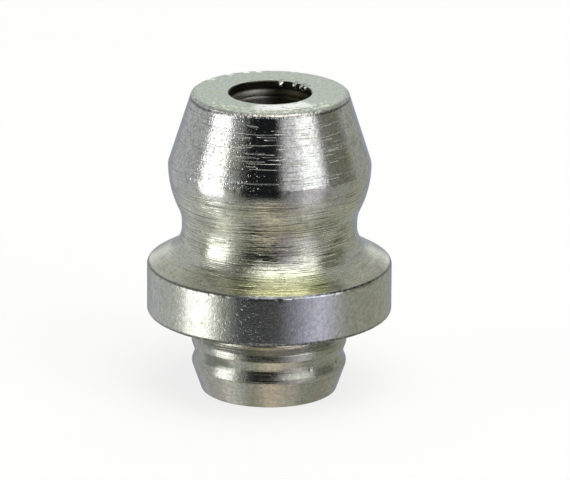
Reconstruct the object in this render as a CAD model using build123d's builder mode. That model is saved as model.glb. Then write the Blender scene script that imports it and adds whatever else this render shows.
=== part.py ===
from build123d import *

import os
from math import cos, radians, sin, sqrt, tan

# Drive-in grease nipple: a turned steel body that is pressed into a plain hole, with its check valve inside.
# Millimetres. The axis is Z and the coupler head points up. z = 0 is the seat plane, the underside of the
# collar, which stops against the machine when the stem is driven home.

# Coupler head, from the top face down
head_d = 6.50  # largest diameter, behind which a grease coupler grips
head_cone_height = 2.32
head_cone_angle = 17.7  # side of the cone, measured from the axis
head_land = 0.11  # short cylinder at the largest diameter
head_edge_round = 0.30
face_edge_round = 0.13

# Neck behind the head
neck_depth = 0.442  # how far the neck lies inside the head
neck_land = 0.16
neck_flank_height = 1.87  # from the neck up to the head's largest diameter
neck_flank_round = 1.27
neck_flank_angle = 25.8

# Collar
collar_d = 7.85
collar_height = 1.62
collar_top_slope = 30.0  # top of the collar, measured from the seat plane
collar_flare_round = 0.92
collar_rim_round = 0.12
collar_foot_round = 0.12

# Press stem, from the collar down
press_d = 4.98
press_land = 0.21
relief_depth = 0.18
relief_height = 0.52
relief_shoulder = 0.28
relief_shoulder_round = 0.10
relief_root_extra = 0.02  # the corner under the collar reaches this far outside the press land
groove_depth = 0.122
groove_upper_flank = 0.35
groove_lower_flank = 0.27
groove_round = 0.40
press_edge_round = 0.04
pilot_step = 0.013  # the lower ridge lies this far inside the press land
pilot_land = 0.10
pilot_upper_round = 0.20
pilot_lower_round = 0.25
lead_in_height = 0.89
lead_in_angle = 19.3
stem_end_round = 0.08

# Grease passage and check valve
inlet_d = 2.64
inlet_depth = 2.20
inlet_edge_break = 0.03
seat_angle = 30.0  # side of the ball's seat, measured from the axis
seat_contact_inset = 0.055  # the ball touches its seat this far outside the inlet
seat_clearance = 0.01  # left between the closed ball and its seat
ball_side_clearance = 0.11
lip_height = 0.35  # stem end, rolled in to hold the spring
lip_catch = 0.15  # how far the lip reaches inside the middle of the spring's wire
lip_root_round = 0.15
lip_edge_round = 0.06

# Return spring
wire_d = 0.25
spring_side_clearance = 0.275
spring_end_clearance = 0.01
working_turns = 6
end_turns = 1  # closed turns at each end
end_turn_pitch = 0.27

# Radii that follow
head_r = head_d / 2
face_r = head_r - head_cone_height * tan(radians(head_cone_angle))
neck_r = head_r - neck_depth
collar_r = collar_d / 2
press_r = press_d / 2
relief_r = press_r - relief_depth
groove_r = press_r - groove_depth
pilot_r = press_r - pilot_step
stem_end_r = pilot_r - lead_in_height * tan(radians(lead_in_angle))

# Heights that follow: the stem is stacked down from the seat plane, the collar, neck and head up from it
relief_bottom_z = -relief_height
press_top_z = relief_bottom_z - relief_shoulder
press_bottom_z = press_top_z - press_land
groove_z = press_bottom_z - groove_upper_flank
pilot_top_z = groove_z - groove_lower_flank
pilot_bottom_z = pilot_top_z - pilot_land
stem_end_z = pilot_bottom_z - lead_in_height

flare_corner_z = collar_height + (collar_r - neck_r) * tan(radians(collar_top_slope))
neck_bottom_z = flare_corner_z + collar_flare_round * tan(radians(90 - collar_top_slope) / 2)
neck_top_z = neck_bottom_z + neck_land
head_bottom_z = neck_top_z + neck_flank_height
head_top_z = head_bottom_z + head_land
face_z = head_top_z + head_cone_height

# Check valve: the ball closes against its seat, and the spring stands between the ball and the rolled lip
inlet_r = inlet_d / 2
ball_r = (inlet_r + seat_contact_inset) / cos(radians(seat_angle))
chamber_r = ball_r + ball_side_clearance
seat_top_z = face_z - inlet_depth
seat_bottom_z = seat_top_z - (chamber_r - inlet_r) / tan(radians(seat_angle))
seat_apex_z = seat_top_z + inlet_r / tan(radians(seat_angle))
ball_z = seat_apex_z - (ball_r + seat_clearance) / sin(radians(seat_angle))

wire_r = wire_d / 2
coil_r = chamber_r - spring_side_clearance - wire_r
lip_r = coil_r - lip_catch
lip_top_z = stem_end_z + lip_height
coil_bottom_z = lip_top_z + spring_end_clearance + wire_r
coil_top_z = ball_z - sqrt((ball_r + spring_end_clearance + wire_r) ** 2 - coil_r**2)
end_coil_height = end_turns * end_turn_pitch
working_height = coil_top_z - coil_bottom_z - 2 * end_coil_height

# Each corner of the outside, from the stem's end up to the neck: radius, height, rounding
outside_corners = [
    (stem_end_r, stem_end_z, stem_end_round),
    (pilot_r, pilot_bottom_z, pilot_lower_round),
    (pilot_r, pilot_top_z, pilot_upper_round),
    (groove_r, groove_z, groove_round),
    (press_r, press_bottom_z, press_edge_round),
    (press_r, press_top_z, relief_shoulder_round),
    (relief_r, relief_bottom_z, relief_shoulder_round),
    (relief_r, 0, relief_depth + relief_root_extra),
    (collar_r, 0, collar_foot_round),
    (collar_r, collar_height, collar_rim_round),
    (neck_r, flare_corner_z, collar_flare_round),
]

# Body, turned from bar in one piece, with its end rolled in over the spring
with BuildPart() as nipple_body:
    with BuildSketch(Plane.XZ) as half_section:
        with BuildLine():
            FilletPolyline(
                (lip_r, stem_end_z),
                *[(r, z) for r, z, rounding in outside_corners],
                (neck_r, neck_top_z),
                radius=[rounding for r, z, rounding in outside_corners],
            )
            neck_root = JernArc((neck_r, neck_top_z), (0, 1), neck_flank_round, -neck_flank_angle)
            TangentArc(neck_root @ 1, (head_r, head_bottom_z), tangent=neck_root % 1)
            FilletPolyline(
                (head_r, head_bottom_z),
                (head_r, head_top_z),
                (face_r, face_z),
                (inlet_r, face_z),
                radius=[head_edge_round, face_edge_round],
            )
            FilletPolyline(
                (inlet_r, face_z),
                (inlet_r, seat_top_z),
                (chamber_r, seat_bottom_z),
                (chamber_r, lip_top_z),
                (lip_r, lip_top_z),
                (lip_r, stem_end_z),
                radius=[0, 0, lip_root_round, lip_edge_round],
            )
        make_face()
        inlet_mouth = half_section.vertices().sort_by_distance((inlet_r, face_z))[0]
        chamfer(inlet_mouth, inlet_edge_break)
        outlet_mouth = half_section.vertices().sort_by_distance((lip_r, stem_end_z))[0]
        fillet(outlet_mouth, lip_edge_round)
    revolve(axis=Axis.Z)
nipple_body.part.label = "nipple_body"

# Check ball, closed against its seat
with BuildPart() as check_ball:
    with Locations((0, 0, ball_z)):
        Sphere(ball_r)
check_ball.part.label = "check_ball"

# Return spring, wound with closed turns at each end
with BuildPart() as return_spring:
    with BuildLine() as wire_centre:
        Helix(end_turn_pitch, end_coil_height, coil_r, center=(0, 0, coil_bottom_z))
        Helix(
            working_height / working_turns,
            working_height,
            coil_r,
            center=(0, 0, coil_bottom_z + end_coil_height),
        )
        Helix(end_turn_pitch, end_coil_height, coil_r, center=(0, 0, coil_top_z - end_coil_height))
    with BuildSketch(Plane(origin=wire_centre.line @ 0, z_dir=wire_centre.line % 0)):
        Circle(wire_r)
    sweep(path=wire_centre.line, is_frenet=True)
return_spring.part.label = "return_spring"

os.makedirs("parts", exist_ok=True)
export_step(nipple_body.part, "parts/nipple_body.step")
export_step(check_ball.part, "parts/check_ball.step")
export_step(return_spring.part, "parts/return_spring.step")
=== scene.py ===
from math import atan2, ceil, cos, exp, pi, radians, sin, tan
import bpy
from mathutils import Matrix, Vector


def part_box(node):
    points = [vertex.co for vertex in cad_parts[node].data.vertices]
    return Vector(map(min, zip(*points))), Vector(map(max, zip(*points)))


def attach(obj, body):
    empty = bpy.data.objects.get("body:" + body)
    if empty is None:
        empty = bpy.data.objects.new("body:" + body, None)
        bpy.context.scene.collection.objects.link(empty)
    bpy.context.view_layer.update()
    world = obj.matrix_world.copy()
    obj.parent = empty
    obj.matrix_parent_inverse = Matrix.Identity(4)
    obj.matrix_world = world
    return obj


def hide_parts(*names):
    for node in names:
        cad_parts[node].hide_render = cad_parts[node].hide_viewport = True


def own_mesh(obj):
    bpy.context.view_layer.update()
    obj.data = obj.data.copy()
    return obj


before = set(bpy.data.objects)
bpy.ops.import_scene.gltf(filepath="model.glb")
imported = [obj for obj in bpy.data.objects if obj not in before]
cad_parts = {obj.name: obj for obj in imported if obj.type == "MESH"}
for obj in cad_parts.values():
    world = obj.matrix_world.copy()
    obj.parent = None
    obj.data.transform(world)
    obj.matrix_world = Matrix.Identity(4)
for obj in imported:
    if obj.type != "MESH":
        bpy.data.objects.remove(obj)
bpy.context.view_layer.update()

from types import SimpleNamespace
from typing import NamedTuple

import bmesh
import bpy
from bpy.props import FloatProperty, FloatVectorProperty, IntProperty, PointerProperty
from mathutils import Matrix, Vector, noise

bl_info = {
    "name": "Grease nipple",
    "version": (1, 0, 0),
    "blender": (4, 5, 0),
    "location": "View3D > Sidebar > Nipple",
    "description": "Builds the finished look of a drive-in grease nipple",
    "category": "Object",
}

MM = 0.001
BODY_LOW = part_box("nipple_body")[0]
BALL_LOW, BALL_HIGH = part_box("check_ball")
SPRING_LOW, SPRING_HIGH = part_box("return_spring")

ARC_STEP = radians(9)  # the largest turn of a facet along an arc
HIDDEN_ROW = 0.5 * MM  # mean facet inside the body
BALL_SEGMENTS = 96
WIRE_SIDES, WIRE_STEPS = 16, 48  # facets round the wire, and in a turn of the spring
SHARP_ANGLE = radians(32)  # an edge that bends more stays sharp
WELD = 0.001 * MM  # points nearer than this become one

# azimuth in degrees, 0 in front and 90 at the right, then the share of the full depth or height
TOP_NICKS = [(-128, 0.7), (-147, 0.7), (-161, 1.0), (-171, 0.8)]
INLET_BURRS = [(165, 1.0), (143, 1.0), (130, 1.0), (121, 0.5)]
# azimuth in degrees, height in millimetres, share of the full depth
STEM_PITS = [(62.7, -1.406, 1.0), (33.8, -1.344, 0.8), (69.8, -1.526, 0.7)]
WORN_SHEEN_AZIMUTH = 14  # the middle of the patch that the coupler's seal has rubbed, painted near-white as a reflection of the light behind
CHIP_LEVEL = 0.12  # how strong the noise has to be for a chip
BURR_DROP = 0.7  # how far a burr bends down, as a share of how far it stands into the opening
MARK_UNDERCUT = 0.2  # the upper, steep side of a turning mark, as a share of its height
WIRE_END_BEVEL = 0.12  # as a share of the wire's diameter


def length(name, description, millimetres, precision=3):
    """A size of the object that a user may change."""
    settings = {"precision": precision, "subtype": "DISTANCE", "unit": "LENGTH"}
    return FloatProperty(name=name, description=description, default=millimetres * MM, **settings)


def slope(name, description, degrees):
    """An angle of the object that a user may change."""
    return FloatProperty(name=name, description=description, default=radians(degrees), subtype="ANGLE")


def colour(name, description, value):
    """A colour, red, green and blue, that a user may change."""
    return FloatVectorProperty(
        name=name, description=description, default=value, size=3, min=0.0, max=1.0, subtype="COLOR"
    )


class BodySizes(bpy.types.PropertyGroup):
    """The turned body's section"""

    head_r: length("Head radius", "Largest radius of the coupler head", 3.25)
    head_cone: length("Head cone height", "Height of the head's upper cone", 2.32)
    head_cone_angle: slope("Head cone angle", "Side of the upper cone, from the axis", 17.7)
    head_land: length("Head land", "Short cylinder at the head's largest radius", 0.11)
    head_round: length("Head edge rounding", "Rounding over the head's largest radius", 0.30)
    face_round: length("Face edge rounding", "Rounding round the top face", 0.13)
    flank_height: length("Flank height", "From the neck to the head's largest radius", 1.87)
    flank_round: length("Flank rounding", "Hollow where the neck meets the flank", 1.27)
    flank_angle: slope("Flank turn", "How far the hollow rounding turns", 25.8)
    neck_depth: length("Neck depth", "How far the neck lies inside the head", 0.442)
    neck_land: length("Neck land", "Straight part of the neck", 0.16)
    flare_round: length("Flare rounding", "Hollow between neck and collar", 0.92)
    collar_r: length("Collar radius", "Radius of the collar", 3.9235)
    collar_height: length("Collar height", "Height of the collar's rim", 1.62)
    collar_slope: slope("Collar slope", "Top of the collar, from the seat plane", 30.0)
    collar_round: length("Collar edge rounding", "Rounding of the collar's edges", 0.12)
    press_r: length("Press radius", "Radius of the land that grips", 2.49)
    press_land: length("Press land", "Height of the land that grips", 0.21)
    press_round: length("Press edge rounding", "Rounding under the land that grips", 0.05)
    relief_depth: length("Relief depth", "Depth of the relief under the collar", 0.18)
    relief_height: length("Relief height", "Height of the relief under the collar", 0.52)
    relief_shoulder: length("Relief shoulder", "Height of the relief's sloping shoulder", 0.28)
    relief_round: length("Relief rounding", "Rounding under the relief's shoulder", 0.10)
    shoulder_round: length("Shoulder rounding", "Hollow over the relief's shoulder", 0.30)
    root_round: length("Root rounding", "Rounding between relief and collar", 0.20)
    groove_depth: length("Groove depth", "Depth of the groove to its corner", 0.122)
    groove_upper: length("Groove upper flank", "Height of the groove's upper flank", 0.35)
    groove_lower: length("Groove lower flank", "Height of the groove's lower flank", 0.27)
    groove_round: length("Groove rounding", "Rounding at the groove's bottom", 0.40)
    ridge_step: length("Ridge step", "How far the ridge lies inside the press land", 0.013)
    ridge_land: length("Ridge land", "Height of the lower ridge", 0.10)
    ridge_round: length("Ridge rounding", "Rounding of the lower ridge", 0.22)
    lead_in: length("Lead-in height", "Height of the tapered stem end", 0.89)
    lead_in_angle: slope("Lead-in angle", "Side of the tapered stem end, from the axis", 19.3)
    end_round: length("Stem end rounding", "Rounding of the stem's end", 0.08)
    inlet_r: length("Inlet radius", "Radius of the grease inlet", 1.32)
    inlet_depth: length("Inlet depth", "Depth of the inlet to the ball's seat", 2.20)
    inlet_break: length("Inlet edge", "Small bevel round the inlet", 0.03)
    seat_angle: slope("Seat angle", "Side of the ball's seat, from the axis", 30.0)
    chamber_r: length("Chamber radius", "Radius of the ball's chamber", 1.698)
    lip_r: length("Lip radius", "Radius of the outlet in the rolled lip", 1.148)
    lip_height: length("Lip height", "Thickness of the rolled lip", 0.35)
    lip_round: length("Lip rounding", "Rounding of the rolled lip's edges", 0.06)
    lip_root_round: length("Lip root rounding", "Rounding between chamber and lip", 0.15)
    mark_upper: length("Upper bore mark", "Depth of the upper turning mark", 0.24)
    mark_lower: length("Lower bore mark", "Depth of the lower turning mark", 0.50)
    mark_depth: length("Bore mark depth", "How far the marks cut into the wall", 0.06)
    mark_height: length("Bore mark height", "Height of a turning mark", 0.16)
    steps_round: IntProperty(name="Steps round", description="Facets round the axis", default=360)
    row_height: length("Row height", "Mean facet along the outside", 0.1)


class WearSizes(bpy.types.PropertyGroup):
    """Nicks, burrs and pits left by machining and handling"""

    chip_depth: length("Chip depth", "Deepest of the small chips along the edges", 0.035)
    chip_reach: length("Chip reach", "How far a chip spreads from its edge", 0.09)
    chip_length: length("Chip length", "Usual length of a chip along its edge", 0.11)
    nick_depth: length("Nick depth", "Depth of the larger nicks in the top edge", 0.09)
    nick_width: length("Nick width", "Width of the larger nicks in the top edge", 0.11)
    burr_height: length("Burr height", "How far the burrs stand into the inlet", 0.10)
    burr_width: length("Burr width", "Width of a burr along the inlet's edge", 0.13)
    pit_depth: length("Pit depth", "Depth of the pits in the stem", 0.05)
    pit_width: length("Pit width", "Width of the pits in the stem", 0.09)


class SpringSizes(bpy.types.PropertyGroup):
    """The return spring under the ball"""

    wire_d: length("Wire diameter", "Diameter of the spring wire", 0.25)
    end_turns: FloatProperty(name="End turns", description="Closed turns at each end", default=1.0)
    end_pitch: length("End pitch", "Rise of a closed turn", 0.27)
    working_turns: FloatProperty(name="Working turns", description="Open turns between the ends", default=6.0)
    travel: length("Ball travel", "How far the ball is pushed off its seat", 1.0)


class FinishColours(bpy.types.PropertyGroup):
    """Colours of the plating, the bare steel and the dirt"""

    head: colour("Head", "Plating on the coupler head", (0.46, 0.463, 0.452))
    waist: colour("Waist", "Plating below the head", (0.455, 0.46, 0.405))
    neck: colour("Neck", "Plating in the hollow under the head", (0.505, 0.51, 0.445))
    pink_film: colour("Pink film", "Faint patches below the head", (0.47, 0.44, 0.45))
    olive_film: colour("Olive film", "Faint patches all over", (0.45, 0.455, 0.37))
    # a painted reflection: bluish on the collar's front, where it mirrors the dark zone in front
    rim_front_reflection: colour("Rim in front", "Bluish front of the collar", (0.42, 0.44, 0.485))
    rim_sides: colour("Rim at the sides", "Sides of the collar", (0.455, 0.462, 0.42))
    # partly the plating's tint and partly a painted reflection of the overhead light, strongest in front
    flare_foot: colour("Flare's foot", "Yellowish plating over the collar's edge", (0.475, 0.48, 0.295))
    # the stem's plating is painted darker than the head's, as painted shade under the collar
    stem_cool_shaded: colour("Stem, cool", "Greenish patches on the stem", (0.36, 0.37, 0.335))
    stem_warm_shaded: colour("Stem, warm", "Brownish patches on the stem", (0.385, 0.365, 0.335))
    stain: colour("Stains", "Dull blotches all over", (0.30, 0.30, 0.235))
    face: colour("Face", "Plating on the top face", (0.41, 0.445, 0.405))
    face_patch: colour("Face patches", "Mossy patches on the top face", (0.41, 0.45, 0.36))
    # painted sheen: near-white where the seal has rubbed, a painted reflection of the light behind
    face_worn_sheen: colour("Rubbed face", "Where the coupler's seal has rubbed", (0.98, 0.99, 0.97))
    # painted glints of small chips near the face's front edge
    speckle_glint: colour("Light speckles", "Near the face's front edge", (0.80, 0.83, 0.60))
    speckle_dark: colour("Dark speckles", "Near the face's front edge", (0.20, 0.22, 0.15))
    # the inlet's wall: painted light at its left, painted shade at its right
    bore_lit_left: colour("Bore, left", "Left wall of the inlet", (0.27, 0.25, 0.235))
    bore_shaded_right: colour("Bore, right", "Right wall of the inlet", (0.05, 0.045, 0.03))
    # painted shade just under the inlet's mouth
    bore_mouth_shade: colour("Bore mouth", "Old grease round the inlet's mouth", (0.035, 0.033, 0.025))
    # painted glints: near-white metal at the nicked and turned-over edges
    bare_glint: colour("Bare steel", "Steel where an edge is nicked or turned over", (0.95, 0.97, 0.88))
    # painted sheen: lighter metal on the front of the stem, standing in for its reflections
    stem_painted_sheen: colour("Bright stem", "Cleaner metal on the front of the stem", (0.76, 0.72, 0.64))
    # painted shade in patches in the stem's groove
    groove_shade: colour("Dull groove", "Dull patches in the stem's groove", (0.15, 0.16, 0.13))
    ball: colour("Ball", "The ball's steel", (0.72, 0.72, 0.73))
    ball_smear: colour("Ball's smears", "The film of grease on the ball", (0.62, 0.63, 0.64))
    wire: colour("Wire", "The spring's steel", (0.52, 0.52, 0.53))
    wire_streak: colour("Wire's streaks", "Marks of the drawing die", (0.30, 0.31, 0.32))


class StudioSettings(bpy.types.PropertyGroup):
    """Camera, floor and light"""

    camera_elevation: slope("Camera elevation", "Height of the camera above the horizon", 17.82)
    camera_distance: length("Camera distance", "From the object's axis", 237.9, 1)
    camera_roll: slope("Camera roll", "Lean of the camera", 0.29)
    aim_height: length("Aim height", "Point on the axis that the camera is set by", 1.606)
    aim_right: length("Aim right", "View's centre, right of that point", 0.498)
    aim_up: length("Aim up", "View's centre, above that point", 0.683)
    lens: FloatProperty(name="Lens", description="Focal length in millimetres", default=468.7, unit="CAMERA")


def stretch(mesh, tip, end, step):
    """Draws a straight line from the tip to end and returns the new tip.

    Its pieces are step long on average, and shorter towards both ends, where the edges are.
    """
    start = tip.co.copy()
    pieces = max(1, ceil((end - start).length / step))
    for i in range(pieces):
        share = (1 - cos(pi * (i + 1) / pieces)) / 2
        tip = bmesh.ops.extrude_vert_indiv(mesh, verts=[tip])["verts"][0]
        bmesh.ops.translate(mesh, verts=[tip], vec=start.lerp(end, share) - tip.co)
    return tip


def turn(mesh, tip, centre, angle, step):
    """Draws an arc from the tip round centre, and returns the new tip."""
    pieces = max(3, ceil((tip.co - centre).length * abs(angle) / step), ceil(abs(angle) / ARC_STEP))
    drawn = bmesh.ops.spin(mesh, geom=[tip], cent=centre, axis=(0, 1, 0), angle=angle, steps=pieces)
    return [v for v in drawn["geom_last"] if isinstance(v, bmesh.types.BMVert)][0]


def rounded_line(mesh, tip, corners, step):
    """Draws through corners of (radius, height, rounding); the last one is only reached."""
    for here, after in zip(corners, corners[1:]):
        corner = Vector((here[0], 0, here[1]))
        before = (tip.co - corner).normalized()
        onward = (Vector((after[0], 0, after[1])) - corner).normalized()
        bend = pi - before.angle(onward)
        tangent = here[2] * tan(bend / 2)
        tip = stretch(mesh, tip, corner + before * tangent, step)
        if here[2] > 0:
            middle = (before + onward).normalized()
            centre = corner + middle * (here[2] / cos(bend / 2))
            side = 1 if before.cross(onward).y > 0 else -1
            tip = turn(mesh, tip, centre, -side * bend, step)
    end = Vector((corners[-1][0], 0, corners[-1][1]))
    return stretch(mesh, tip, end, step)


def face_radius(size):
    """Radius of the corner where the head's cone meets the top face."""
    return size.head_r - size.head_cone * tan(size.head_cone_angle)


def body_heights(size):
    """Heights of the body's sections, stacked from the seat plane at z = 0."""
    z = {}
    z["relief"] = -size.relief_height
    z["press_top"] = z["relief"] - size.relief_shoulder
    z["press_bottom"] = z["press_top"] - size.press_land
    z["groove"] = z["press_bottom"] - size.groove_upper
    z["ridge_top"] = z["groove"] - size.groove_lower
    z["ridge_bottom"] = z["ridge_top"] - size.ridge_land
    z["end"] = z["ridge_bottom"] - size.lead_in
    neck_r = size.head_r - size.neck_depth
    z["flare"] = size.collar_height + (size.collar_r - neck_r) * tan(size.collar_slope)
    z["neck"] = z["flare"] + size.flare_round * tan((pi / 2 - size.collar_slope) / 2)
    z["neck_top"] = z["neck"] + size.neck_land
    z["head_bottom"] = z["neck_top"] + size.flank_height
    z["head_top"] = z["head_bottom"] + size.head_land
    z["face"] = z["head_top"] + size.head_cone
    return z


def bore_mark(size, top, height):
    """Corners of a turning mark in the inlet: a short undercut and a long flank that faces up."""
    return [
        (size.inlet_r, top, 0),
        (size.inlet_r + size.mark_depth * height / size.mark_height, top - MARK_UNDERCUT * height, 0),
        (size.inlet_r, top - height, 0),
    ]


def turned_body(size):
    """The body's half section, spun about its axis."""
    z = body_heights(size)
    neck_r = size.head_r - size.neck_depth
    face_r = face_radius(size)
    relief_r = size.press_r - size.relief_depth
    groove_r = size.press_r - size.groove_depth
    ridge_r = size.press_r - size.ridge_step
    end_r = ridge_r - size.lead_in * tan(size.lead_in_angle)
    seat_top = z["face"] - size.inlet_depth
    seat_bottom = seat_top - (size.chamber_r - size.inlet_r) / tan(size.seat_angle)
    lip_top = z["end"] + size.lip_height

    mesh = bmesh.new()
    start = bmesh.ops.create_vert(mesh, co=(neck_r, 0, z["neck_top"]))["vert"][0]
    hollow = Vector((neck_r + size.flank_round, 0, z["neck_top"]))
    tip = turn(mesh, start, hollow, size.flank_angle, size.row_height)
    # the flank bulges from the hollow's end to the head, on the arc that carries the hollow's direction on
    heading = Vector((sin(size.flank_angle), 0, cos(size.flank_angle)))
    square = Vector((heading.z, 0, -heading.x))
    chord = Vector((size.head_r, 0, z["head_bottom"])) - tip.co
    bulge_r = chord.length_squared / (2 * chord.dot(square))
    bulge_angle = 2 * chord.angle(heading)
    side = -1 if bulge_r > 0 else 1
    tip = turn(mesh, tip, tip.co + square * bulge_r, -side * bulge_angle, size.row_height)
    cone_and_inlet = [
        (size.head_r, z["head_top"], size.head_round),
        (face_r, z["face"], size.face_round),
        (size.inlet_r + size.inlet_break, z["face"], 0),
        (size.inlet_r, z["face"] - size.inlet_break, 0),
        *bore_mark(size, z["face"] - size.mark_upper, size.mark_height),
        *bore_mark(size, z["face"] - size.mark_lower, size.mark_height / 2),
        (size.inlet_r, (z["face"] + seat_top) / 2, 0),
    ]
    chamber_and_lip = [
        (size.inlet_r, seat_top, 0),
        (size.chamber_r, seat_bottom, 0),
        (size.chamber_r, lip_top, size.lip_root_round),
        (size.lip_r, lip_top, size.lip_round),
        (size.lip_r, z["end"], size.lip_round),
        ((size.lip_r + end_r) / 2, z["end"], 0),
    ]
    stem_and_collar = [
        (end_r, z["end"], size.end_round),
        (ridge_r, z["ridge_bottom"], size.ridge_round),
        (ridge_r, z["ridge_top"], size.ridge_round),
        (groove_r, z["groove"], size.groove_round),
        (size.press_r, z["press_bottom"], size.press_round),
        (size.press_r, z["press_top"], size.relief_round),
        (relief_r, z["relief"], size.shoulder_round),
        (relief_r, 0, size.root_round),
        (size.collar_r, 0, size.collar_round),
        (size.collar_r, size.collar_height, size.collar_round),
        (neck_r, z["flare"], size.flare_round),
        (neck_r, z["neck_top"], 0),
    ]
    tip = rounded_line(mesh, tip, cone_and_inlet, size.row_height)
    tip = rounded_line(mesh, tip, chamber_and_lip, HIDDEN_ROW)
    tip = rounded_line(mesh, tip, stem_and_collar, size.row_height)
    bmesh.ops.remove_doubles(mesh, verts=mesh.verts, dist=WELD)
    section = mesh.verts[:] + mesh.edges[:]
    steps = size.steps_round
    bmesh.ops.spin(
        mesh, geom=section, cent=(0, 0, 0), axis=(0, 0, 1), angle=2 * pi, steps=steps, use_merge=True
    )
    bmesh.ops.remove_doubles(mesh, verts=mesh.verts, dist=WELD)
    bmesh.ops.recalc_face_normals(mesh, faces=mesh.faces)
    return mesh


def bump_out(offset, width):
    """1 at the middle of a mark and falling smoothly to 0 about one width away."""
    return exp(-((offset / (0.5 * width)) ** 2))


def around(vertex, azimuth):
    """Distance of a vertex round the axis from an azimuth, which is 0 in front and grows to the right."""
    angle = atan2(vertex.co.x, -vertex.co.y) - radians(azimuth)
    return ((angle + pi) % (2 * pi) - pi) * vertex.co.xy.length


def near_edge(mesh, edge_r, edge_z, reach):
    """Vertices near a sharp edge, with their distances from it."""
    found = []
    for vertex in mesh.verts:
        away = ((vertex.co.xy.length - edge_r) ** 2 + (vertex.co.z - edge_z) ** 2) ** 0.5
        if away < reach:
            found.append((vertex, away))
    return found


def chip_edges(mesh, wear, edges):
    """Small irregular chips along sharp edges, each given as (radius, height, share of the full depth)."""
    for edge_r, edge_z, share in edges:
        for vertex, away in near_edge(mesh, edge_r, edge_z, 2 * wear.chip_reach):
            where = vertex.co / wear.chip_length
            chipped = noise.noise(where) + 0.6 * noise.noise(where * 2.3)
            depth = max(0.0, chipped - CHIP_LEVEL) * share * bump_out(away, 2 * wear.chip_reach)
            vertex.co -= vertex.normal * (depth * wear.chip_depth)


def nick_top_edge(mesh, wear, edge_r, edge_z):
    """The larger nicks in the back of the top edge."""
    near = near_edge(mesh, edge_r, edge_z, 3 * wear.nick_width)
    for azimuth, share in TOP_NICKS:
        for vertex, away in near:
            cut = bump_out(around(vertex, azimuth), wear.nick_width) * bump_out(away, 2 * wear.nick_width)
            vertex.co -= vertex.normal * (cut * share * wear.nick_depth)


def raise_burrs(mesh, wear, edge_r, edge_z):
    """Slivers of metal turned over the inlet's edge."""
    near = [vertex for vertex, _ in near_edge(mesh, edge_r, edge_z, wear.burr_width)]
    for azimuth, share in INLET_BURRS:
        for vertex in near:
            lift = bump_out(around(vertex, azimuth), wear.burr_width) * share * wear.burr_height
            inward = Vector((-vertex.co.x, -vertex.co.y, 0)).normalized()
            vertex.co += (inward - Vector((0, 0, BURR_DROP))) * lift


def sink_pits(mesh, wear):
    """Pits in the groove of the stem."""
    low = min(height for _, height, _ in STEM_PITS) * MM - wear.pit_width
    high = max(height for _, height, _ in STEM_PITS) * MM + wear.pit_width
    near = [vertex for vertex in mesh.verts if low < vertex.co.z < high]
    for azimuth, height, share in STEM_PITS:
        for vertex in near:
            away = (around(vertex, azimuth) ** 2 + (vertex.co.z - height * MM) ** 2) ** 0.5
            vertex.co -= vertex.normal * (bump_out(away, wear.pit_width) * share * wear.pit_depth)


def worn_body(size, wear):
    """The turned body with its chips, nicks, burrs and pits."""
    mesh = turned_body(size)
    mesh.normal_update()
    z = body_heights(size)
    face_r = face_radius(size)
    sharp_edges = [
        (face_r, z["face"], 1.2),
        (size.head_r, z["head_top"], 0.5),
        (size.collar_r, size.collar_height, 1.0),
        (size.collar_r, 0.0, 0.8),
        (size.inlet_r, z["face"], 0.4),
    ]
    chip_edges(mesh, wear, sharp_edges)
    nick_top_edge(mesh, wear, face_r, z["face"])
    raise_burrs(mesh, wear, size.inlet_r, z["face"] - size.inlet_break)
    sink_pits(mesh, wear)
    return mesh


def check_ball(low, high):
    """The hardened ball, in the place that the frame gives it."""
    mesh = bmesh.new()
    radius = (high.z - low.z) / 2
    bmesh.ops.create_uvsphere(mesh, u_segments=BALL_SEGMENTS, v_segments=BALL_SEGMENTS // 2, radius=radius)
    bmesh.ops.translate(mesh, verts=mesh.verts, vec=(low + high) / 2)
    return mesh


def coil(mesh, section, turns, pitch):
    """Winds a wire section up the axis, and returns the section at the other end."""
    rise, steps = (0, 0, pitch / WIRE_STEPS), round(turns * WIRE_STEPS)
    wound = bmesh.ops.spin(
        mesh, geom=section, cent=(0, 0, 0), axis=(0, 0, 1), dvec=rise, angle=2 * pi * turns, steps=steps
    )
    return wound["geom_last"]


def return_spring(spring, low, high):
    """A spring of round wire with closed ends, between the heights that the frame gives."""
    coil_r = high.x - spring.wire_d / 2
    bottom = low.z + spring.wire_d / 2
    rise = high.z - low.z - spring.wire_d
    working_pitch = (rise - 2 * spring.end_turns * spring.end_pitch) / spring.working_turns
    mesh = bmesh.new()
    made = bmesh.ops.create_circle(mesh, segments=WIRE_SIDES, radius=spring.wire_d / 2)["verts"]
    bmesh.ops.rotate(mesh, verts=made, cent=(0, 0, 0), matrix=Matrix.Rotation(pi / 2, 3, "X"))
    bmesh.ops.translate(mesh, verts=made, vec=(coil_r, 0, bottom))
    foot = bmesh.ops.contextual_create(mesh, geom=mesh.edges[:])["faces"]
    section = mesh.verts[:] + mesh.edges[:]
    section = coil(mesh, section, spring.end_turns, spring.end_pitch)
    section = coil(mesh, section, spring.working_turns, working_pitch)
    section = coil(mesh, section, spring.end_turns, spring.end_pitch)
    last_edges = [item for item in section if isinstance(item, bmesh.types.BMEdge)]
    tip = bmesh.ops.contextual_create(mesh, geom=last_edges)["faces"]
    rims = {edge for face in [*foot, *tip] for edge in face.edges}
    bmesh.ops.bevel(
        mesh,
        geom=list(rims),
        offset=spring.wire_d * WIRE_END_BEVEL,
        offset_type="OFFSET",
        affect="EDGES",
        segments=2,
        profile=0.5,
        material=-1,
    )
    bmesh.ops.remove_doubles(mesh, verts=mesh.verts, dist=0.1 * WELD)
    bmesh.ops.recalc_face_normals(mesh, faces=mesh.faces)
    return mesh


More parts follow.
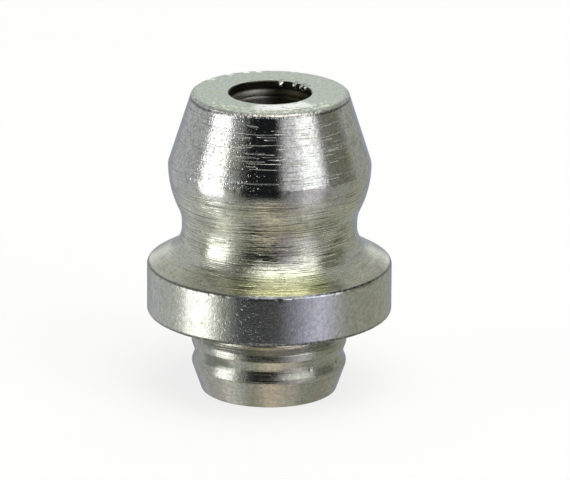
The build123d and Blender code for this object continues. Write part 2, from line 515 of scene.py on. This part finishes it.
def placed(name, mesh, material):
    """Makes a scene object of a mesh, with its material."""
    data = bpy.data.meshes.new(name)
    mesh.to_mesh(data)
    mesh.free()
    data.materials.append(material)
    thing = bpy.data.objects.new(name, data)
    bpy.context.scene.collection.objects.link(thing)
    return thing


def finished(name, mesh, material, body):
    """Makes a piece of the object, smooth between its sharp edges, that rides on a body of the frame."""
    piece = placed(name, mesh, material)
    piece.data.shade_smooth()
    piece.data.set_sharp_from_angle(angle=SHARP_ANGLE)
    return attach(piece, body)


class Field:
    """A shader value that takes part in Python expressions."""

    def __init__(self, tree, socket):
        self.tree = tree
        self.socket = socket

    def math(self, operation, *others):
        """A Math node on this value and others."""
        return self.tree.node("Math", {"operation": operation}, self, *others)

    def __add__(self, other):
        return self.math("ADD", other)

    __radd__ = __add__

    def __sub__(self, other):
        return self.math("SUBTRACT", other)

    def __rsub__(self, other):
        return self.tree.node("Math", {"operation": "SUBTRACT"}, other, self)

    def __mul__(self, other):
        return self.math("MULTIPLY", other)

    __rmul__ = __mul__

    def __truediv__(self, other):
        return self.math("DIVIDE", other)

    def output(self, name):
        """Another output of the node that this value comes from."""
        return Field(self.tree, self.socket.node.outputs[name])

    def size(self):
        """The value without its sign."""
        return self.math("ABSOLUTE")

    def rises(self, low, high):
        """0 below low, 1 above high and smooth between them."""
        settings = {"interpolation_type": "SMOOTHSTEP"}
        return self.tree.node("MapRange", settings, self, low, high, 0.0, 1.0)

    def falls(self, low, high):
        """1 below low, 0 above high and smooth between them."""
        return 1 - self.rises(low, high)

    def between(self, low, high, soft):
        """1 between low and high, 0 outside, with an edge of the given softness."""
        return self.rises(low - soft, low + soft) * self.falls(high - soft, high + soft)

    def maximum(self, other):
        """The larger of this value and another."""
        return self.math("MAXIMUM", other)


class Tree:
    """A material's nodes, made one call each."""

    def __init__(self, name):
        self.material = bpy.data.materials.new(name)
        self.material.use_nodes = True
        self.nodes = self.material.node_tree.nodes
        self.links = self.material.node_tree.links
        self.shader = self.nodes["Principled BSDF"]

    def node(self, kind, settings, *inputs, output=0, **named):
        """A shader node with its settings, then its inputs in order or by name; returns one output."""
        made = self.nodes.new("ShaderNode" + kind)
        for key, value in settings.items():
            setattr(made, key, value)
        for key, value in [*enumerate(inputs), *named.items()]:
            self.feed(made.inputs[key], value)
        return Field(self, made.outputs[output])

    def feed(self, socket, value):
        """Links a field to a socket, or writes a plain value on it."""
        if isinstance(value, Field):
            self.links.new(value.socket, socket)
        elif value is not None:
            socket.default_value = value

    def set(self, **values):
        """Feeds sockets of the shader; an underscore stands for a space."""
        for key, value in values.items():
            self.feed(self.shader.inputs[key.replace("_", " ")], value)

    def place(self):
        """x, y and z on the object, in millimetres."""
        coordinates = self.node("TexCoord", {}, output="Object")
        scaled = self.node("VectorMath", {"operation": "SCALE"}, coordinates, Scale=1 / MM)
        x = self.node("SeparateXYZ", {}, scaled)
        return x, x.output("Y"), x.output("Z")

    def vector(self, x, y, z):
        """Three values as a vector."""
        return self.node("CombineXYZ", {}, x, y, z)

    def noise(self, where, scale=1.0, detail=2.0, roughness=0.5):
        """Noise between about 0.2 and 0.8 round 0.5."""
        return self.node("TexNoise", {}, Vector=where, Scale=scale, Detail=detail, Roughness=roughness)

    def dots(self, where, scale, share, reach):
        """Round spots, 1 at the middle, in a share of the cells; scale is in cells per millimetre."""
        away = self.node("TexVoronoi", {}, Vector=where, Scale=scale)
        chosen = self.node("SeparateColor", {}, away.output("Color"))
        return away.falls(0.0, reach) * chosen.rises(1 - share, 1.001 - share)

    def mix(self, share, first, second, blend="MIX"):
        """A colour between first and second."""
        settings = {"data_type": "RGBA", "blend_type": blend}
        colours = [end if isinstance(end, Field) else (*end, 1) for end in (first, second)]
        # the sockets between belong to the node's other data types
        return self.node("Mix", settings, share, *[None] * 5, *colours, output=2)

    def bump(self, height):
        """A normal bent by a height in millimetres."""
        return self.node("Bump", {}, Strength=1.0, Distance=MM, Height=height)

    def glow(self, tint, strength, shown=None):
        """Makes the surface a light, see-through where shown is below 1."""
        surface = self.nodes["Material Output"].inputs["Surface"]
        light = self.node("Emission", {}, (*tint, 1), strength)
        if shown is not None:
            clear = self.node("BsdfTransparent", {})
            light = self.node("MixShader", {}, shown, clear, light)
        self.feed(surface, light)
        self.nodes.remove(self.shader)


def body_zones(tree):
    """Where things are on the body, and masks that are 1 on its parts; heights and radii in millimetres."""
    x, y, z = tree.place()
    radius = (x * x + y * y).math("SQRT")
    across = x / radius
    head = z.rises(4.85, 5.0)
    waist = z.between(1.75, 4.52, 0.14)
    rim = radius.rises(3.80, 3.88)
    face = z.rises(7.235, 7.25)
    # the tool's rings are plainest in front
    sides_of_flare = z.falls(2.3, 2.7) * across.size().rises(0.35, 0.70) * waist
    return SimpleNamespace(
        spot=tree.vector(x, y, z),
        z=z,
        radius=radius,
        across=across,  # 1 at the right, -1 at the left
        along=y / radius,  # 1 behind, -1 in front
        ring=z - radius * 0.6,  # the same all round, and rising along the cones as well as up
        outside=radius.rises(1.37, 1.39),
        head=head,
        head_side=head * (1 - face),
        waist=waist,
        ringed=waist - sides_of_flare * 0.6,
        rim=rim,
        off_rim=1 - rim,
        face=face,
        face_edge=radius.between(2.40, 2.60, 0.03) * z.rises(7.10, 7.16),
        stem=1 - z.rises(-0.08, 0.0),
        inlet=radius.between(1.25, 1.385, 0.002) * z.between(4.9, 7.19, 0.01),
        inlet_edge=radius.between(1.308, 1.353, 0.003) * z.rises(7.19, 7.20),
        left=across.falls(-0.16, 0.02),
    )


def round_noise(tree, at, turns, height, **settings):
    """Noise that changes slowly or fast round the axis, by turns, and otherwise with a height."""
    return tree.noise(tree.vector(at.across * turns, at.along * turns, height), **settings)


def body_patterns(tree, at):
    """The patterns that show in more than one way, as height, colour or dirt."""
    scored = round_noise(tree, at, 2.1, at.ring * 21, detail=1.0)
    return SimpleNamespace(
        # rings left by the turning tool, broken up a little round the axis
        rings=round_noise(tree, at, 2.0, at.ring * 23, detail=2.0, roughness=0.6) - 0.5,
        scratches=scored.rises(0.60, 0.66),
        # dark lines along the scratches, painted dark reflections in them
        painted_dark_lines=scored.falls(0.33, 0.40),
        grit=tree.noise(at.spot, scale=24.0, detail=1.0) - 0.5,
        film=tree.noise(at.spot, scale=0.5, detail=2.0, roughness=0.6),
        blotch=tree.noise(at.spot, scale=2.4, detail=3.0, roughness=0.6),
        speckle=tree.noise(at.spot, scale=7.0, detail=2.0, roughness=0.7),
    )


def body_relief(tree, at, pattern):
    """Height of the tool's rings, scratches and dents, in millimetres."""
    broad = round_noise(tree, at, 0.8, at.ring * 4.5, detail=2.0) - 0.5
    scratched = at.z.between(5.60, 6.92, 0.04) + at.z.between(5.06, 5.30, 0.02)
    # upright grain on the collar's rim
    grain = round_noise(tree, at, 90, at.z * 6, detail=2.0, roughness=0.7) - 0.5
    # small dents all over, from tumbling with other parts, most of them at the left
    patchy = tree.noise(at.spot, scale=0.8, detail=2.0).rises(0.35, 0.65)
    dents = tree.dots(at.spot, 8.0, 0.35, 0.36) * (0.25 + at.left)
    dents = dents + tree.dots(at.spot, 15.0, 0.45, 0.45) * at.left * 0.7
    worked = tree.noise(at.spot, scale=13.0, detail=2.0, roughness=0.7) - 0.5
    workings = 0.002 + at.head * at.left * 0.0035 + at.rim * 0.002 + at.face * 0.010
    workings = workings + at.face_edge * 0.02 + at.stem * 0.002
    return (
        pattern.rings * (at.ringed * 0.018 + at.head * 0.0045 + at.stem * 0.006 + at.face * 0.006) * at.off_rim
        + broad * (at.waist * 0.015 + at.head * 0.003 + at.stem * 0.003) * at.off_rim
        - pattern.scratches * (at.head * scratched * 0.006 + at.ringed * 0.009 + at.stem * 0.002) * at.off_rim
        + grain * at.rim * 0.0015
        - dents * (0.0012 + at.head * (0.0026 + patchy * 0.004) + at.rim * (0.001 + patchy * 0.005))
        + worked * workings
        + pattern.grit * (0.0010 + at.rim * 0.0006 + at.left * 0.001)
    )


def plating_layers(tree, at, pattern, finish):
    """The plating's faint colours below the head, each after the mask that it shows through."""
    pink = pattern.film.rises(0.56, 0.66) * (1 - at.head) * (1 - at.rim * 0.6)
    # bluish on the front of the rim, a painted reflection of the dark zone in front; yellowish at its sides
    # and along the foot of the flare, partly the plating's tint and partly a painted reflection of the
    # overhead light, strongest in front
    centre = (at.across - 0.12).size().falls(0.34, 0.52)
    flare_foot = at.z.rises(1.3, 1.5) * at.z.falls(1.75, 2.25) * at.off_rim
    return [
        (at.waist, finish.waist),
        (at.z.between(2.3, 4.15, 0.15), finish.neck),
        (pink, finish.pink_film),
        (pattern.film.falls(0.30, 0.42), finish.olive_film),
        (at.rim, tree.mix(centre, finish.rim_sides, finish.rim_front_reflection)),
        (flare_foot * (0.35 + centre * 0.65), finish.flare_foot),
        # the stem, painted darker as shade under the collar
        (at.stem, tree.mix(pattern.film.rises(0.42, 0.58), finish.stem_cool_shaded, finish.stem_warm_shaded)),
        (pattern.blotch.rises(0.50, 0.72) * 0.5 * (1 - at.face), finish.stain),
    ]


def towards(at, azimuth):
    """Cosine of the angle round the axis from an azimuth, 0 in front and 90 at the right."""
    return at.across * sin(radians(azimuth)) - at.along * cos(radians(azimuth))


def near_marks(at, marks, width):
    """1 in the directions of some marks, falling to 0 over a width in degrees."""
    near = 0
    for azimuth, _ in marks:
        near = towards(at, azimuth).rises(cos(radians(width)), cos(radians(width / 3))) + near
    return near


def face_layers(tree, at, pattern, finish):
    """The top face: painted near-white where the coupler's seal has rubbed it, a painted reflection, and
    speckled near its front edge, where the light speckles are painted glints.
    """
    # where the rubbed patch is painted near-white as a reflection
    worn_sheen = towards(at, WORN_SHEEN_AZIMUTH).rises(0.80, 0.93) * at.radius.between(1.42, 2.02, 0.05)
    streaky = round_noise(tree, at, 5, at.radius * 9, detail=2.0)
    speckled = at.face * at.radius.between(1.88, 2.40, 0.08) * (0 - at.along).rises(0.30, 0.72)
    return [
        (at.face, tree.mix(pattern.blotch.rises(0.40, 0.60), finish.face, finish.face_patch)),
        (at.face * worn_sheen * streaky.rises(0.32, 0.48), finish.face_worn_sheen),
        # the light speckles are painted glints of small chips
        (speckled * pattern.speckle.rises(0.54, 0.60) * 0.9, finish.speckle_glint),
        (speckled * pattern.speckle.falls(0.38, 0.43) * 0.6, finish.speckle_dark),
    ]


def inlet_layers(tree, at, pattern, finish):
    """The inlet's wall, painted lighter at the left and darker at the right and just under the mouth as
    painted shade, and painted glints of bare steel where the edges of the face are nicked or turned over.
    """
    # painted light at the left of the wall, painted shade at its right
    bore = tree.mix(at.across.rises(-0.30, 0.14), finish.bore_lit_left, finish.bore_shaded_right)
    # painted glints on the nicks in the top edge and on the burrs at the inlet
    nicked = near_marks(at, TOP_NICKS, 3.0) * at.radius.rises(2.20, 2.30)
    burr_glints = near_marks(at, INLET_BURRS, 3.4) * at.radius.falls(1.33, 1.36)
    bare_glint = at.z.rises(7.05, 7.10) * (nicked + burr_glints) * pattern.speckle.rises(0.32, 0.52)
    return [
        # painted shade, darkest just under the mouth
        (at.inlet.maximum(at.inlet_edge), tree.mix(at.z.rises(6.90, 7.00), bore, finish.bore_mouth_shade)),
        (bare_glint, finish.bare_glint),
    ]


def stem_layers(at, finish):
    """Painted highlights on the front of the stem, and patches of painted shade in its groove."""
    z, across = at.z, at.across
    # painted highlights: a ring at the top of the shoulder, and a painted reflection where the stem faces down
    front = (0 - at.along).rises(0.66, 0.86) * across.falls(0.3, 0.6)
    shoulder_highlight = z.between(-0.62, -0.40, 0.03) * at.radius.between(2.2, 2.43, 0.02) * front
    under = z.between(-1.38, -1.03, 0.02) + 0.7 * z.falls(-1.78, -1.74)
    down_facing_sheen = under * 0.25 * (across - 0.06).size().falls(0.20, 0.42)
    # painted shade in the groove, at its left and at its right
    shade_left = z.between(-1.42, -1.03, 0.03) * (across + 0.68).size().falls(0.10, 0.22)
    shade_right = z.between(-1.66, -1.42, 0.03) * (across - 0.42).size().falls(0.05, 0.15) * 0.45
    return [
        (at.stem * shoulder_highlight.maximum(down_facing_sheen), finish.stem_painted_sheen),
        (at.stem * (shade_left + shade_right) * 0.8, finish.groove_shade),
    ]


def body_dirt_and_shade(tree, at):
    """Painted shade over the collar's top edge and a painted shadow under the sides of the head's top edge,
    darker patches along the collar's lower edge, and dark specks all over.
    """
    z, radius, across = at.z, at.radius, at.across
    patchy = tree.noise(at.spot, scale=13.0, detail=3.0, roughness=0.7).rises(0.34, 0.60)
    # darker in patches along the collar's lower edge
    under_rim = radius.between(3.80, 3.95, 0.02) * z.falls(0.08, 0.15) * (0.2 + patchy * 0.6)
    # painted shade over the collar's top edge, dimming its highlight
    over_rim_shade = radius.rises(3.82, 3.85) * z.between(1.612, 1.662, 0.01)
    over_rim_shade = over_rim_shade * (0.55 + patchy * (0.1 + across.between(0.40, 0.86, 0.06) * 0.3))
    # painted shadow of a burr under the sides of the head's top edge
    head_edge_shadow = radius.between(2.46, 2.60, 0.01) * z.between(7.10, 7.17, 0.01)
    head_edge_shadow = head_edge_shadow * across.size().rises(0.40, 0.66) * (0.35 + patchy * 0.4)
    foot_stain = z.rises(1.3, 1.5) * z.falls(1.80, 1.98) * at.off_rim * across.between(0.33, 0.64, 0.05)
    specks = tree.dots(at.spot, 3.2, 0.10, 0.16) * (1 - at.face)
    return under_rim.maximum(over_rim_shade).maximum(head_edge_shadow).maximum(foot_stain * 0.4).maximum(specks * 0.8)


def plated_steel(finish):
    """Turned steel with a clear-passivated zinc plating."""
    tree = Tree("plated_steel")
    at = body_zones(tree)
    pattern = body_patterns(tree, at)
    tint = finish.head
    for share, film in (
        *plating_layers(tree, at, pattern, finish),
        *face_layers(tree, at, pattern, finish),
        *inlet_layers(tree, at, pattern, finish),
        *stem_layers(at, finish),
    ):
        tint = tree.mix(share, tint, film)

    satin = at.rim + at.stem
    mottle = tree.noise(at.spot, scale=8.0, detail=3.0, roughness=0.65) - 0.5
    # painted dark lines along the scratches, fewer at the head's right
    dark_line_share = at.ringed * 0.5 + at.head_side * (0.4 - at.across.rises(0.3, 0.6) * 0.25) + at.stem * 0.15
    streaks = pattern.rings * (at.ringed * 0.9 + at.stem * 0.4) - pattern.painted_dark_lines * dark_line_share
    shade = 1 + mottle * (0.5 + at.head * 0.7 + satin * 0.4) + pattern.grit * (0.9 - satin * 0.5) + streaks
    # the dirt and the painted shade darken the plating
    shade = shade * (1 - body_dirt_and_shade(tree, at))

    roughness = 0.09 - at.head_side * 0.02 + at.waist * 0.04 + at.rim * 0.13 + at.face * 0.18
    roughness = roughness + at.stem * 0.09 + at.inlet * 0.38 + pattern.blotch * 0.06
    tree.set(
        Base_Color=tree.mix(1.0, tint, tree.vector(shade, shade, shade), "MULTIPLY"),
        Metallic=1.0,
        Roughness=roughness,
        Normal=tree.bump(body_relief(tree, at, pattern) * at.outside),
    )
    return tree.material


def polished_steel(finish):
    """The hardened ball."""
    tree = Tree("ball_steel")
    x, y, z = tree.place()
    smear = tree.noise(tree.vector(x, y, z), scale=3.0, detail=3.0)
    tree.set(
        Base_Color=tree.mix(smear, finish.ball_smear, finish.ball),
        Metallic=1.0,
        Roughness=0.08 + smear * 0.1,
    )
    return tree.material


def drawn_wire(finish):
    """Bright spring wire."""
    tree = Tree("spring_wire")
    x, y, z = tree.place()
    streak = tree.noise(tree.vector(x, y, z * 12), scale=4.0, detail=3.0)
    tree.set(
        Base_Color=tree.mix(streak, finish.wire_streak, finish.wire),
        Metallic=1.0,
        Roughness=0.25 + streak * 0.2,
        Normal=tree.bump(streak * 0.003),
    )
    return tree.material


class Card(NamedTuple):
    """A curved card of the studio, in degrees round the object.

    Azimuth 0 is in front of the object and 90 is at its right. The width and height are measured where the
    card has faded to half, and soft says over how many degrees each of them fades.
    """

    name: str
    azimuth: float
    elevation: float
    width: float
    height: float
    soft: tuple
    tint: tuple
    strength: float


# the nearest card comes first, and hides those behind it
CARDS = [
    Card("left_softbox", -69.8, -1, 30, 46, (7, 10), (1.0, 1.0, 1.0), 3.2),
    Card("left_upper_glow", -72, 31, 28, 24, (8, 8), (1.0, 1.0, 0.98), 1.35),
    Card("right_upper_card", 51, 26, 28, 38, (15, 10), (0.99, 1.0, 1.0), 2.2),
    Card("right_outer_card", 40, 28, 44, 38, (20, 10), (0.98, 0.98, 1.0), 1.15),
    Card("right_inner_card", 50, -12, 28, 62, (20, 16), (0.99, 0.94, 0.99), 1.05),
    Card("camera_card", -9.5, 5, 53, 62, (20, 9), (0.78, 0.88, 1.0), 0.022),
    Card("right_card", 43, -14, 60, 60, (24, 12), (0.96, 0.94, 1.0), 0.50),
    Card("right_dark_card", 88, 21, 46, 64, (18, 8), (1.0, 1.0, 0.80), 0.28),
    Card("left_dark_card", -46, 46, 30, 46, (8, 6), (1.0, 0.98, 0.82), 0.24),
    Card("left_ceiling_card", -82, 66, 110, 44, (10, 8), (1.0, 0.98, 0.86), 0.34),
    Card("left_low_glow", -82, -52, 26, 20, (12, 8), (1.0, 1.0, 0.92), 1.2),
    Card("left_glow", -77, -38, 62, 44, (12, 14), (0.98, 1.0, 0.96), 0.82),
    Card("table_middle", 6, -58, 40, 58, (6, 16), (1.0, 0.90, 0.74), 0.91),
    Card("table_card", 22, -58, 80, 58, (14, 16), (1.0, 0.94, 0.80), 0.72),
    Card("back_low_card", 180, -17, 64, 34, (12, 6), (0.90, 0.97, 1.08), 0.46),
    Card("back_card", 180, 18, 44, 36, (10, 10), (0.97, 1.0, 0.99), 1.04),
    Card("back_top_card", 148, 76, 56, 24, (10, 6), (1.0, 0.98, 0.74), 1.2),
    Card("left_wall", -130, 0, 64, 90, (12, 14), (0.97, 1.0, 1.0), 0.72),
    Card("walls_high", 0, 45, 360, 90, (0, 0), (0.98, 1.0, 0.96), 0.60),
    Card("walls_low", 0, -45, 360, 90, (0, 0), (0.99, 1.0, 0.85), 0.52),
]
CARD_DISTANCE, CARD_GAP = 0.50, 0.012
CARD_ROWS, CARD_COLUMNS = 16, 32
OVERHEAD_SIZE = 1.3  # half the width of the sheet that the overhead softbox shines through, in its own heights
SENSOR_WIDTH = 36.0  # in millimetres, as the lens is
CAMERA_CLIP = 0.01, 20.0
FLOOR_RADIUS, FLOOR_SIDES = 0.9, 96
FLOOR_GLOW = 0.75  # how much of the floor's own white shows, over its shadows as well


class Softbox(NamedTuple):
    """The flat softbox overhead, its edges as shares of its height over the object.

    Each edge has the width over which the light fades there. Towards the back, the left and the right edge are
    drawn in: where that starts and ends, and by how much.
    """

    height: float
    left: tuple
    right: tuple
    front: tuple
    back: tuple
    left_drawn_in: tuple
    right_drawn_in: tuple
    tint: tuple
    strength: float


OVERHEAD = Softbox(
    height=0.45,
    left=(-0.225, 0.03),
    right=(0.84, 0.14),
    front=(-0.96, 0.08),
    back=(0.10, 0.46),
    left_drawn_in=(0.02, 0.16, 0.12),
    right_drawn_in=(-0.1, 0.5, 0.8),
    tint=(1.0, 0.99, 0.90),
    strength=2.8,
)


def hang_overhead(box):
    """Hangs the flat softbox, seen in reflections and not by the camera."""
    mesh = bmesh.new()
    bmesh.ops.create_grid(mesh, x_segments=1, y_segments=1, size=OVERHEAD_SIZE * box.height)
    bmesh.ops.translate(mesh, verts=mesh.verts, vec=(0, 0, box.height))
    tree = Tree("overhead_softbox")
    x, y, z = tree.place()
    right = x / z
    back = y / z
    left_start, left_end, left_depth = box.left_drawn_in
    right_start, right_end, right_depth = box.right_drawn_in
    shown = 1
    for off, (edge, soft) in (
        (right - back.rises(left_start, left_end) * left_depth, box.left),
        (0 - right - back.rises(right_start, right_end) * right_depth, (-box.right[0], box.right[1])),
        (back, box.front),
        (0 - back, (-box.back[0], box.back[1])),
    ):
        shown = off.rises(edge - soft / 2, edge + soft / 2) * shown
    tree.glow(box.tint, box.strength, shown)
    show_in_reflections("overhead_softbox", mesh, tree.material)


def show_in_reflections(name, mesh, material):
    """Makes a part of the studio that the camera doesn't see."""
    sheet = placed(name, mesh, material)
    sheet.visible_camera = False


def hang(card, distance):
    """Puts a card up round the object, seen in reflections and not by the camera."""
    mesh = bmesh.new()
    width = min(card.width + card.soft[0], 360)
    low = max(card.elevation - (card.height + card.soft[1]) / 2, -90)
    high = min(card.elevation + (card.height + card.soft[1]) / 2, 90)
    start = Vector((0, -cos(radians(low)), sin(radians(low)))) * distance
    foot = bmesh.ops.create_vert(mesh, co=start)["vert"]
    rise = radians(high - low)
    bmesh.ops.spin(mesh, geom=foot, cent=(0, 0, 0), axis=(-1, 0, 0), angle=rise, steps=CARD_ROWS)
    turned = Matrix.Rotation(radians(card.azimuth - width / 2), 3, "Z")
    bmesh.ops.rotate(mesh, verts=mesh.verts, cent=(0, 0, 0), matrix=turned)
    edge = mesh.verts[:] + mesh.edges[:]
    bmesh.ops.spin(mesh, geom=edge, cent=(0, 0, 0), axis=(0, 0, 1), angle=radians(width), steps=CARD_COLUMNS)
    show_in_reflections(card.name, mesh, card_light(card))


def card_light(card):
    """A plain glow that fades out towards the card's edges."""
    tree = Tree(card.name)
    shown = None
    if card.soft != (0, 0):
        x, y, z = tree.place()
        azimuth = radians(card.azimuth)
        ahead = x * sin(azimuth) - y * cos(azimuth)
        aside = x * cos(azimuth) + y * sin(azimuth)
        off_width = aside.math("ARCTAN2", ahead).size()
        off_height = (z.math("ARCTAN2", (x * x + y * y).math("SQRT")) - radians(card.elevation)).size()
        shown = 1
        sides = (off_width, card.width, card.soft[0]), (off_height, card.height, card.soft[1])
        for off, span, soft in sides:
            shown = shown * off.falls(radians(span - soft) / 2, radians(span + soft) / 2)
    tree.glow(card.tint, card.strength, shown)
    return tree.material


class NIPPLE_OT_body(bpy.types.Operator):
    """Make the turned body"""

    bl_idname = "nipple.body"
    bl_label = "Turned body"

    def execute(self, context):
        scene = context.scene
        mesh = worn_body(scene.nipple_body, scene.nipple_wear)
        piece = finished("turned_body", mesh, plated_steel(scene.nipple_finish), "body")
        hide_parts("nipple_body")
        return {"FINISHED"}


class NIPPLE_OT_ball(bpy.types.Operator):
    """Make the ball that closes the inlet"""

    bl_idname = "nipple.ball"
    bl_label = "Check ball"

    def execute(self, context):
        steel = polished_steel(context.scene.nipple_finish)
        piece = finished("hardened_ball", check_ball(BALL_LOW, BALL_HIGH), steel, "ball")
        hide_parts("check_ball")
        return {"FINISHED"}


class NIPPLE_OT_spring(bpy.types.Operator):
    """Make the spring that returns the ball"""

    bl_idname = "nipple.spring"
    bl_label = "Return spring"

    def execute(self, context):
        spring = context.scene.nipple_spring
        mesh = return_spring(spring, SPRING_LOW, SPRING_HIGH)
        piece = finished("wound_spring", mesh, drawn_wire(context.scene.nipple_finish), "body")
        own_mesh(piece)
        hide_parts("return_spring")
        return {"FINISHED"}


class NIPPLE_OT_stage(bpy.types.Operator):
    """Set up the floor, the lights and the camera"""

    bl_idname = "nipple.stage"
    bl_label = "Stage"

    def execute(self, context):
        scene = context.scene
        studio = scene.nipple_studio
        place_camera(scene, studio)
        set_floor()
        set_world(scene)
        set_lights()
        scene.view_settings.view_transform = "Standard"
        return {"FINISHED"}


def place_camera(scene, studio):
    """Places the camera by a point on the object's axis, and aims it a little off that point."""
    data = bpy.data.cameras.new("camera")
    data.sensor_width = SENSOR_WIDTH
    data.lens = studio.lens
    data.clip_start, data.clip_end = CAMERA_CLIP
    camera = bpy.data.objects.new("camera", data)
    scene.collection.objects.link(camera)
    back = Vector((0, -cos(studio.camera_elevation), sin(studio.camera_elevation)))
    up = Vector((0, sin(studio.camera_elevation), cos(studio.camera_elevation)))
    seen = Vector((0, 0, studio.aim_height))
    camera.location = seen + back * studio.camera_distance
    aim = seen + Vector((1, 0, 0)) * studio.aim_right + up * studio.aim_up
    aimed = (aim - camera.location).to_track_quat("-Z", "Y").to_matrix()
    roll = Matrix.Rotation(studio.camera_roll, 3, "Z")
    camera.rotation_euler = (aimed @ roll).to_euler()
    scene.camera = camera


def pale_floor():
    """A white that keeps the object's shadow and doesn't darken away from the lights."""
    tree = Tree("pale_floor")
    tree.set(Base_Color=(0.94, 0.94, 0.95, 1), Roughness=0.9, Specular_IOR_Level=0.0)
    ray = tree.node("LightPath", {}, output="Is Camera Ray")
    seen = (ray + ray.output("Is Glossy Ray") + ray.output("Is Transmission Ray")) * FLOOR_GLOW
    white = tree.node("Emission", {}, (1, 1, 1, 1), 1.0)
    painted = Field(tree, tree.shader.outputs["BSDF"])
    surface = tree.nodes["Material Output"].inputs["Surface"]
    tree.feed(surface, tree.node("MixShader", {}, seen, painted, white))
    return tree.material


def set_floor():
    """Lays the floor under the stem's end, unseen in the object's reflections."""
    mesh = bmesh.new()
    bmesh.ops.create_circle(mesh, cap_ends=True, segments=FLOOR_SIDES, radius=FLOOR_RADIUS)
    bmesh.ops.translate(mesh, verts=mesh.verts, vec=(0, 0, BODY_LOW.z))
    floor = placed("floor", mesh, pale_floor())
    floor.visible_glossy = False


def set_world(scene):
    """Gives the scene a plain white background."""
    world = bpy.data.worlds.new("studio_world")
    world.use_nodes = True
    scene.world = world
    background = world.node_tree.nodes["Background"]
    background.inputs["Color"].default_value = (1, 1, 1, 1)
    background.inputs["Strength"].default_value = 1.0


def set_lights():
    """Hangs the softbox and the cards, the nearest card first."""
    hang_overhead(OVERHEAD)
    for i, card in enumerate(CARDS):
        hang(card, CARD_DISTANCE + i * CARD_GAP)


STEPS = (NIPPLE_OT_body, NIPPLE_OT_ball, NIPPLE_OT_spring, NIPPLE_OT_stage)


class NIPPLE_PT_panel(bpy.types.Panel):
    """The steps of the grease nipple"""

    bl_idname = "NIPPLE_PT_panel"
    bl_label = "Grease nipple"
    bl_space_type = "VIEW_3D"
    bl_region_type = "UI"
    bl_category = "Nipple"

    def draw(self, context):
        for step in STEPS:
            self.layout.operator(step.bl_idname)


GROUPS = {
    "nipple_body": BodySizes,
    "nipple_wear": WearSizes,
    "nipple_spring": SpringSizes,
    "nipple_finish": FinishColours,
    "nipple_studio": StudioSettings,
}
CLASSES = (*GROUPS.values(), *STEPS, NIPPLE_PT_panel)


def register():
    """Makes the classes and the object's settings known to Blender."""
    for item in CLASSES:
        bpy.utils.register_class(item)
    for name, group in GROUPS.items():
        setattr(bpy.types.Scene, name, PointerProperty(type=group))


def unregister():
    """Takes back what register did."""
    for name in GROUPS:
        delattr(bpy.types.Scene, name)
    for item in reversed(CLASSES):
        bpy.utils.unregister_class(item)


def main():
    """Registers the add-on's classes and settings, and builds everything."""
    register()
    bpy.ops.nipple.body()
    bpy.ops.nipple.ball()
    bpy.ops.nipple.spring()
    bpy.ops.nipple.stage()


if __name__ == "__main__":
    main()
